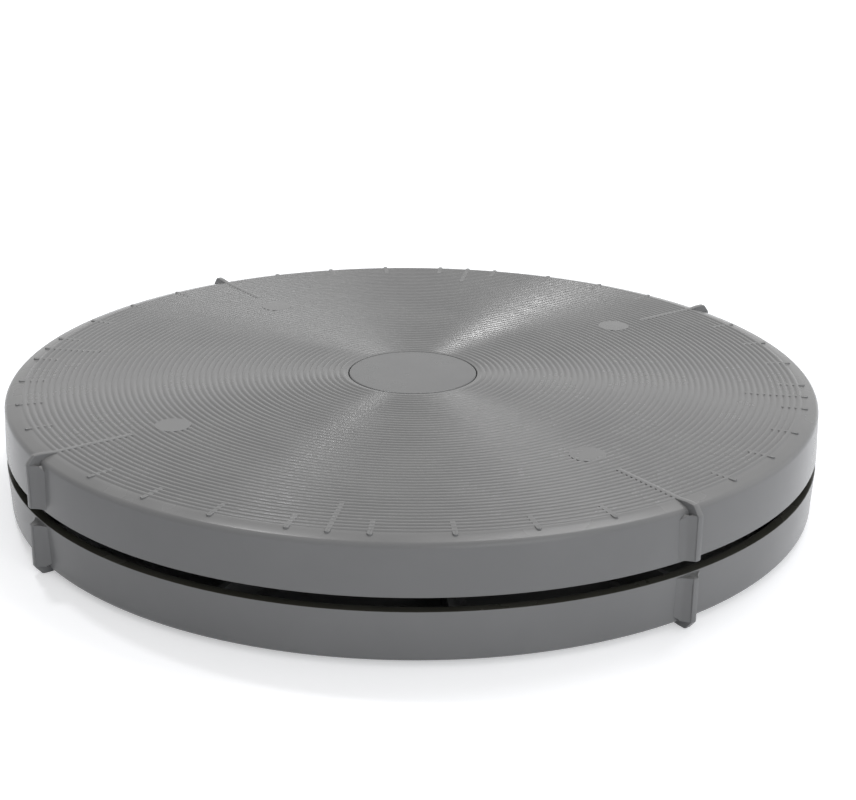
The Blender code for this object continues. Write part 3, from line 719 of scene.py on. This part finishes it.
# %% [markdown]
# ### Ribs and grip lugs
# Four ribs lie flush between the ridges, rise a little over the border to become the feet that the disc
# stands on, and run down the skirt, where flanks turn them into grip lugs. A rib is a flat bar with one
# side outline, so it is a slab along Y with softened edges. A hair's breadth keeps it clear of the crests,
# so that no two faces share a plane.

# %% Rib bars
RIB_WIDTH = 2.2 * MM
RIB_LENGTH = 35.1 * MM
RIB_END_SLOPE = 0.9 * MM
RIB_END_ROUND = 0.4 * MM
RIB_OVERHANG = 1.7 * MM
RIB_SOFTENING = 0.3 * MM
NOSE_ROUND = 0.5 * MM
LUG_SETBACK = 0.7 * MM
LUG_RIDGE_DROP = 2.3 * MM
HAIR = 0.01 * MM
FLUSH_Z = CREST_Z + HAIR
SUNK_Z = (UNDER_Z + RECESS_Z) / 2
SKIRT_ROOT = SHELL_RADIUS - SKIRT_THICKNESS / 2
LUG_FLOOR_Z = EDGE_Z + LUG_SETBACK
LUG_RIDGE_Z = TOP_Z - LUG_RIDGE_DROP


def rib_bar():
    inner = WALL_TOP - RIB_LENGTH
    side = [
        (inner, SUNK_Z),
        (inner, TOP_Z),
        (inner + RIB_END_SLOPE, FLUSH_Z, RIB_END_ROUND),
        (LAST_CREST + RIDGE_PITCH / 2, FLUSH_Z),
        (WALL_TOP - RIM_FILLET, RIB_Z),
        (WALL_TOP + RIB_OVERHANG, RIB_Z, NOSE_ROUND),
        (LUG_FACE, LUG_RIDGE_Z, NOSE_ROUND),
        (LUG_FACE, LUG_FLOOR_Z, NOSE_ROUND),
        (SKIRT_ROOT, LUG_FLOOR_Z),
        (SKIRT_ROOT, SUNK_Z),
    ]
    half = RIB_WIDTH / 2
    bar = slab(side, -half, half)
    return soften(bar, edges_at(bar, Y_AXIS, -half) + edges_at(bar, Y_AXIS, half), RIB_SOFTENING)


add_copies(shell_shape, rib_bar(), even_angles(RIB_COUNT))
print("faces with the ribs:", len(shell_shape.faces))

# %% [markdown]
# The flanks are a second slab, which lies flat: each side has a steep facet by the nose and a shallow one
# that runs out into the wall. Its roof could be drawn as faces. Four plane cuts are simpler, and give it
# one slope over the steep facets and a faster one over the shallow ones.

# %% Sizes of the flanks
SHOULDER_REACH = 1.1 * MM
SHOULDER_WIDTH = 5.8 * MM
SHOULDER_ROUND = 0.6 * MM
SHOULDER_DROP = 0.3 * MM
TAIL_WIDTH = 10.0 * MM
TAIL_SINK = 0.02 * MM
TAIL_DROP = 1.6 * MM
FLANK_FLOOR_LIFT = 0.05 * MM
FLANK_ROOT = SKIRT_ROOT - 1.0 * MM
NOSE_HALF = RIB_WIDTH / 2 - RIB_SOFTENING
print("width of a lug at the wall in mm:", round(TAIL_WIDTH / MM, 1))


# %% Lug flanks
def flank_slab():
    """The flanks before their roof is cut, leaning in with the skirt's draft."""
    tail_x = math.sqrt((SHELL_RADIUS - TAIL_SINK) ** 2 - (TAIL_WIDTH / 2) ** 2)
    right = [
        (FLANK_ROOT, TAIL_WIDTH / 2),
        (tail_x, TAIL_WIDTH / 2),
        (SHELL_RADIUS + SHOULDER_REACH, SHOULDER_WIDTH / 2, SHOULDER_ROUND),
        (LUG_FACE - RIB_SOFTENING / 2, NOSE_HALF),
    ]
    left = [(corner[0], -corner[1], *corner[2:]) for corner in reversed(right)]
    wedge = slab(right + left, LUG_FLOOR_Z + FLANK_FLOOR_LIFT, LUG_RIDGE_Z, flat=True)
    lean = WALL_DRAFT * (LUG_RIDGE_Z - LUG_FLOOR_Z) / (TOP_Z - EDGE_Z)
    above = (LUG_FLOOR_Z + LUG_RIDGE_Z) / 2
    upper = [v for v in wedge.verts if v.co.z > above and abs(v.co.y) > NOSE_HALF + HAIR]
    bmesh.ops.translate(wedge, vec=(-lean, 0, 0), verts=upper)
    return wedge


def cut_roof(wedge, start, end):
    """Cuts both sides by planes that fall from a place to the next, each given as its width and its drop."""
    run, fall = end[0] - start[0], end[1] - start[1]
    for side in (1, -1):
        cut = bmesh.ops.bisect_plane(
            wedge, geom=wedge.verts[:] + wedge.edges[:] + wedge.faces[:], dist=MERGE_DISTANCE,
            plane_co=(0, side * start[0], LUG_RIDGE_Z - start[1]), plane_no=(0, side * fall, run),
            clear_outer=True, clear_inner=False,
        )
        rim = [item for item in cut["geom_cut"] if isinstance(item, bmesh.types.BMEdge)]
        bmesh.ops.contextual_create(wedge, geom=rim)


flanks = flank_slab()
shoulder = (SHOULDER_WIDTH / 2, SHOULDER_DROP)
cut_roof(flanks, (NOSE_HALF, 0.0), shoulder)
cut_roof(flanks, shoulder, (TAIL_WIDTH / 2, TAIL_DROP))
bmesh.ops.recalc_face_normals(flanks, faces=flanks.faces[:])
add_copies(shell_shape, flanks, even_angles(RIB_COUNT))
print("faces with the lugs:", len(shell_shape.faces))

# %% [markdown]
# ### Degree marks and flat spots
# Between two ribs lie eight short raised marks, ten degrees apart, and a longer one in the middle. Four
# round flat spots, flush with the crests, lie over the bosses for the race's screws: the moulder keeps a
# thick place plain, so that it doesn't sink between the ridges. Both could be painted on the plate's wave,
# but they interrupt it, so they are small solids that stand in it.

# %% Degree marks
TICK_WIDTH = 1.8 * MM
TICK_DROP = 0.12 * MM
TICK_LENGTH = 10.8 * MM
LONG_TICK_LENGTH = 22.9 * MM
TICK_START_ROUND = 0.4 * MM
TICK_SOFTENING = 0.15 * MM
TICK_MARGIN = 3.8 * MM
TICK_PITCH = 10


def tick(length):
    half = TICK_WIDTH / 2
    end = WALL_TOP - TICK_MARGIN
    top = CREST_Z - TICK_DROP
    plan = [
        (end - length, -half, TICK_START_ROUND),
        (end, -half, half),
        (end, half, half),
        (end - length, half, TICK_START_ROUND),
    ]
    mark = slab(plan, SUNK_Z, top, flat=True)
    return soften(mark, edges_at(mark, Z_AXIS, top), TICK_SOFTENING)


quarter = 360 // RIB_COUNT
short_ticks = [
    math.radians(start + step)
    for start in range(0, 360, quarter)
    for step in range(TICK_PITCH, quarter, TICK_PITCH)
]
long_ticks = [math.radians((i + 0.5) * quarter) for i in range(RIB_COUNT)]
add_copies(shell_shape, tick(TICK_LENGTH), short_ticks)
add_copies(shell_shape, tick(LONG_TICK_LENGTH), long_ticks)
print("marks:", len(short_ticks), "short,", len(long_ticks), "long")

# %% Flat spots
SPOT_RADIUS = 6.3 * MM
SPOT_STEPS = 64
SPOT_SOFTENING = 0.1 * MM
screw_low, screw_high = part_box("upper_race_screw_01")
SCREW_CIRCLE = (screw_low.x + screw_high.x) / 2


def cylinder(radius, low, high, steps, at=0.0):
    """Upright cylinder between two levels, with its axis on X at a distance from the middle."""
    shape = bmesh.new()
    bmesh.ops.create_cone(
        shape, cap_ends=True, segments=steps, radius1=radius, radius2=radius, depth=high - low
    )
    bmesh.ops.translate(shape, vec=(at, 0, (low + high) / 2), verts=shape.verts[:])
    return shape


spot = cylinder(SPOT_RADIUS, SUNK_Z, FLUSH_Z, SPOT_STEPS, SCREW_CIRCLE)
soften(spot, edges_at(spot, Z_AXIS, FLUSH_Z), SPOT_SOFTENING)
add_copies(shell_shape, spot, even_angles(RIB_COUNT))
print("radius of the screw circle in mm:", round(SCREW_CIRCLE / MM, 2))

# %% [markdown]
# ### Webs and screw bosses
# Inside, twelve webs stiffen the plate and four bosses take the race's screws. Only a low view through the
# gap shows them, so the webs are plain slabs. Each boss is a cylinder whose end is inset and pushed in to
# make its blind hole. A boolean would cut the hole too, but leaves long thin faces round it.

# %% Webs
WEB_COUNT = 12
WEB_THICKNESS = 2.0 * MM
WEB_SETBACK = 0.2 * MM
hub_middle = WELL_RADIUS + HUB_WALL / 2
web_end_z = SEAT_Z + WEB_SETBACK
web_side = [
    (hub_middle, web_end_z),
    (SKIRT_ROOT, web_end_z),
    (SKIRT_ROOT, SUNK_Z),
    (hub_middle, SUNK_Z),
]
add_copies(shell_shape, slab(web_side, -WEB_THICKNESS / 2, WEB_THICKNESS / 2), even_angles(WEB_COUNT))
print("faces with the webs:", len(shell_shape.faces))

# %% Screw bosses
BOSS_RADIUS = 4.5 * MM
BOSS_STEPS = 32
HOLE_WALL = 2.2 * MM
HOLE_DEPTH = 8.1 * MM
boss = cylinder(BOSS_RADIUS, SEAT_Z, SUNK_Z, BOSS_STEPS, SCREW_CIRCLE)
boss_end = min(boss.faces, key=lambda face: face.calc_center_median().z)
bmesh.ops.inset_individual(boss, faces=[boss_end], thickness=HOLE_WALL, depth=0.0)
hole = bmesh.ops.extrude_face_region(boss, geom=[boss_end])
bmesh.ops.delete(boss, geom=[boss_end], context="FACES_ONLY")
hole_end = [item for item in hole["geom"] if isinstance(item, bmesh.types.BMVert)]
bmesh.ops.translate(boss, vec=(0, 0, HOLE_DEPTH), verts=hole_end)
bmesh.ops.recalc_face_normals(boss, faces=boss.faces[:])
add_copies(shell_shape, boss, even_angles(RIB_COUNT))
print("faces of the whole moulding:", len(shell_shape.faces))

# %% [markdown]
# ## Putting a piece in the frame
# A shell or cap is shaped once, as the upper one. The lower one is the same shape turned over about X, as
# on the real disc, whose two halves come from the same moulds. Its place goes into its mesh, and the
# object stays at the origin. Smooth shading would bend the light over a wide flat face with rounded edges,
# such as the cap's top, so every face with more than four corners is shaded flat.

# %% Finish a piece
UPPER = Matrix.Translation((0, 0, MID_HEIGHT))
LOWER = UPPER @ Matrix.Rotation(math.pi, 4, "X")
SHARP_ANGLE = math.radians(40)
body_of = {}
for body, members in frame["record"]["behaviour"]["bodies"].items():
    for member in members:
        body_of[member] = body


def finish_piece(name, shape, place, node, material):
    """Puts a shape in its place, shades it and lets it stand for its CAD node."""
    bmesh.ops.transform(shape, matrix=place, verts=shape.verts[:])
    mesh = bpy.data.meshes.new(name)
    shape.to_mesh(mesh)
    shape.free()
    mesh.materials.append(material)
    mesh.shade_smooth()
    mesh.set_sharp_from_angle(angle=SHARP_ANGLE)
    for face in mesh.polygons:
        face.use_smooth = len(face.vertices) <= 4
    piece = bpy.data.objects.new(name, mesh)
    bpy.context.scene.collection.objects.link(piece)
    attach(piece, body_of[node])
    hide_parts(node)
    mesh.calc_loop_triangles()
    print(name, "rides on", body_of[node], "and has", len(mesh.loop_triangles), "triangles")


print("bodies:", sorted(set(body_of.values())))

# %% Both shells
finish_piece("platform_moulding", shell_shape.copy(), UPPER, "upper_shell", shell_finish)
finish_piece("base_moulding", shell_shape, LOWER, "lower_shell", shell_finish)

# %% [markdown]
# ## Centre caps
# A snap cap closes the well over the bolt. It lies flush in its recess, so that only a fine dark ring
# shows round it. A spun half section would have to be closed at the poles, so the cap is a plain cylinder
# with softened edges. Under it are four legs with barbs, as a snap fit has.

# %% Cap disc
CAP_STEPS = 96
CAP_ROUND = 0.5 * MM
CAP_UNDER_ROUND = 0.2 * MM
cap_under = TOP_Z - CAP_THICKNESS
cap_shape = cylinder(CAP_RADIUS, cap_under, TOP_Z, CAP_STEPS)
soften(cap_shape, edges_at(cap_shape, Z_AXIS, TOP_Z), CAP_ROUND, segments=3)
soften(cap_shape, edges_at(cap_shape, Z_AXIS, cap_under), CAP_UNDER_ROUND)
print("cap radius in mm:", round(CAP_RADIUS / MM, 2))

# %% Cap legs
LEG_COUNT = 4
LEG_WIDTH = 7.0 * MM
LEG_WALL = 1.6 * MM
LEG_LENGTH = 5.0 * MM
LEG_ROUND = 0.2 * MM
BARB = 0.5 * MM
well_clear = WELL_RADIUS - SEAT_GAP
leg_tip = 2 * well_clear - math.hypot(well_clear, LEG_WIDTH / 2)
leg_outer = leg_tip - BARB
leg_inner = leg_outer - LEG_WALL
leg_root = cap_under + CAP_THICKNESS / 2
leg_foot = cap_under - LEG_LENGTH
leg_side = [
    (leg_inner, leg_root),
    (leg_inner, leg_foot, LEG_ROUND),
    (leg_outer, leg_foot, LEG_ROUND),
    (leg_tip, leg_foot + 2 * BARB, LEG_ROUND),
    (leg_outer, leg_foot + 4 * BARB),
    (leg_outer, leg_root),
]
add_copies(cap_shape, slab(leg_side, -LEG_WIDTH / 2, LEG_WIDTH / 2), even_angles(LEG_COUNT))
print("faces of a cap:", len(cap_shape.faces))

# %% Both caps
finish_piece("platform_cap", cap_shape.copy(), UPPER, "upper_centre_cap", cap_finish_with_painted_shade)
finish_piece("base_cap", cap_shape, LOWER, "lower_centre_cap", cap_finish_with_painted_shade)

# %% [markdown]
# ## Hidden hardware
# The races, cage, balls, screws and the centre bolt sit inside. Their solids already have the right shape
# and could be drawn again only to look the same, so each keeps its mesh and gets its finish. The first
# word of the list that a node's name holds picks the finish.

# %% Finishes of the hardware
hardware_finishes = {
    "race_screw": zinc_finish, "race": race_finish, "ball_cage": nylon_finish, "ball": ball_finish,
    "bush": acetal_finish, "thrust_washer": acetal_finish, "washer": zinc_finish, "pivot": zinc_finish,
}
hardware = [node for node in frame["nodes"] if any(word in node for word in hardware_finishes)]
for node in hardware:
    finish = next(hardware_finishes[word] for word in hardware_finishes if word in node)
    for material_slot in frame["nodes"][node].material_slots:
        material_slot.material = finish
print("hardware nodes dressed:", len(hardware))

# %% [markdown]
# ## Stage and light
# The disc stands on a white studio floor that runs out of the picture. To the camera and to glossy
# surfaces the floor shows some light of its own, so that it is white where it isn't shaded and still
# carries the soft shadow. Brighter lamps could make it white too, but they would wash out the disc. Far
# out, where the lamps don't reach, the floor shows more, so that no grey band lies along the horizon.

# %% Rays that see the background
def seen_rays(tree):
    """One for rays from the camera, a glossy surface or glass, and nought for rays that only light."""
    rays = add_node(tree, "ShaderNodeLightPath")
    either = add_math(tree, "ADD", rays.outputs["Is Camera Ray"], rays.outputs["Is Glossy Ray"])
    return add_math(tree, "ADD", either, rays.outputs["Is Transmission Ray"], clamp=True)


FLOOR_GLOW = 0.42
FAR_FLOOR_GLOW = 0.64
FLOOR_NEAR = 0.9
FLOOR_FAR = 3.0
floor_paper, floor_nodes, floor_shader = new_material("floor_paper", {
    "Base Color": (0.85, 0.86, 0.89, 1.0), "Roughness": 0.9, "Specular IOR Level": 0.0,
    "Emission Color": (1.0, 1.0, 1.0, 1.0),
})
floor_distance = add_node(floor_nodes, "ShaderNodeVectorMath", operation="LENGTH")
floor_place = add_node(floor_nodes, "ShaderNodeTexCoord").outputs["Object"]
floor_nodes.links.new(floor_place, floor_distance.inputs[0])
floor_glow = add_range(
    floor_nodes, floor_distance.outputs["Value"], FLOOR_NEAR, FLOOR_FAR, FLOOR_GLOW, FAR_FLOOR_GLOW
)
seen_glow = add_math(floor_nodes, "MULTIPLY", seen_rays(floor_nodes), floor_glow)
floor_nodes.links.new(seen_glow, floor_shader.inputs["Emission Strength"])

# %% Floor
FLOOR_SIZE = 20.0
floor_shape = bmesh.new()
bmesh.ops.create_grid(floor_shape, x_segments=1, y_segments=1, size=FLOOR_SIZE / 2)
floor_mesh = bpy.data.meshes.new("floor")
floor_shape.to_mesh(floor_mesh)
floor_shape.free()
floor_mesh.materials.append(floor_paper)
floor = bpy.data.objects.new("floor", floor_mesh)
bpy.context.scene.collection.objects.link(floor)
print("side of the floor in metres:", FLOOR_SIZE)

# %% [markdown]
# ### World
# A room is never equally bright all round. Here the light falls off towards the left, and it is a little
# cooler near the horizon than overhead. A photographed room could stand in for that, but a slope along one
# direction and two tints say the same in a few nodes. The camera and glossy surfaces see plain white.

# %% Levels of the world's light
WORLD_LIGHT = 0.42
WORLD_SLOPE = 0.2
OVERHEAD_LIGHT = 0.2
OVERHEAD_RANGE = (0.3, 1.0)
BRIGHT_SIDE = (0.81, -0.58, 0.0)
world = bpy.data.worlds.new("studio")
bpy.context.scene.world = world
world.use_nodes = True
sky = world.node_tree
sky_place = add_node(sky, "ShaderNodeTexCoord").outputs["Generated"]
sky_z = split_vector(sky, sky_place)["Z"]
facing = add_node(sky, "ShaderNodeVectorMath", {1: BRIGHT_SIDE}, operation="DOT_PRODUCT")
sky.links.new(sky_place, facing.inputs[0])
around = add_range(
    sky, facing.outputs["Value"], -1.0, 1.0, WORLD_LIGHT - WORLD_SLOPE, WORLD_LIGHT + WORLD_SLOPE
)
overhead = add_range(sky, sky_z, *OVERHEAD_RANGE, 0.0, OVERHEAD_LIGHT)
level = add_math(sky, "ADD", around, overhead)
print("world light:", round(WORLD_LIGHT - WORLD_SLOPE, 2), "to", round(WORLD_LIGHT + WORLD_SLOPE, 2))

# %% Tints of the world's light, and what the camera sees
HORIZON_TINT = (0.80, 0.89, 1.0)
ZENITH_TINT = (1.0, 0.98, 0.94)
TINT_RANGE = (0.1, 0.8)
WHITE = (1.0, 1.0, 1.0)
background = sky.nodes["Background"]
seen = seen_rays(sky)
up_to_white = add_math(sky, "MULTIPLY", seen, add_math(sky, "SUBTRACT", 1.0, level))
sky.links.new(add_math(sky, "ADD", level, up_to_white), background.inputs["Strength"])
tint = mix_colours(sky, add_range(sky, sky_z, *TINT_RANGE), HORIZON_TINT, ZENITH_TINT)
sky.links.new(mix_colours(sky, seen, tint, WHITE), background.inputs["Color"])
bpy.context.scene.view_settings.view_transform = "Standard"
print("nodes of the world:", len(sky.nodes))

# %% [markdown]
# ### Lamps
# Round ridges gather the reflection of a lamp in a fan that points at it. A small lamp high behind the
# disc draws such a fan at the front left, and the bright line on the rim. A broader one to the right draws
# the softer fan at the front right. A third one in front lights the skirt, and a fourth opens up the
# right-hand side. Point lamps would draw harder fans and black shadows, so all four are area lamps.

# %% Lamps
def area_lamp(name, direction, distance, size, power):
    """Square soft lamp that looks at the disc from a direction."""
    lamp_data = bpy.data.lights.new(name, "AREA")
    lamp_data.size = size
    lamp_data.energy = power
    lamp = bpy.data.objects.new(name, lamp_data)
    bpy.context.scene.collection.objects.link(lamp)
    away = Vector(direction).normalized()
    lamp.location = away * distance
    lamp.rotation_mode = "QUATERNION"
    lamp.rotation_quaternion = away.to_track_quat("Z", "Y")
    print("lamp", name, "power:", power)


area_lamp("key_lamp", direction=(0.03, 0.48, 0.88), distance=2.78, size=0.24, power=14.0)
area_lamp("fan_lamp", direction=(0.47, 0.20, 0.86), distance=2.2, size=0.8, power=13.0)
area_lamp("front_lamp", direction=(-0.15, -0.88, 0.40), distance=1.8, size=1.0, power=7.2)
area_lamp("side_lamp", direction=(0.85, -0.35, 0.45), distance=1.5, size=0.9, power=1.6)
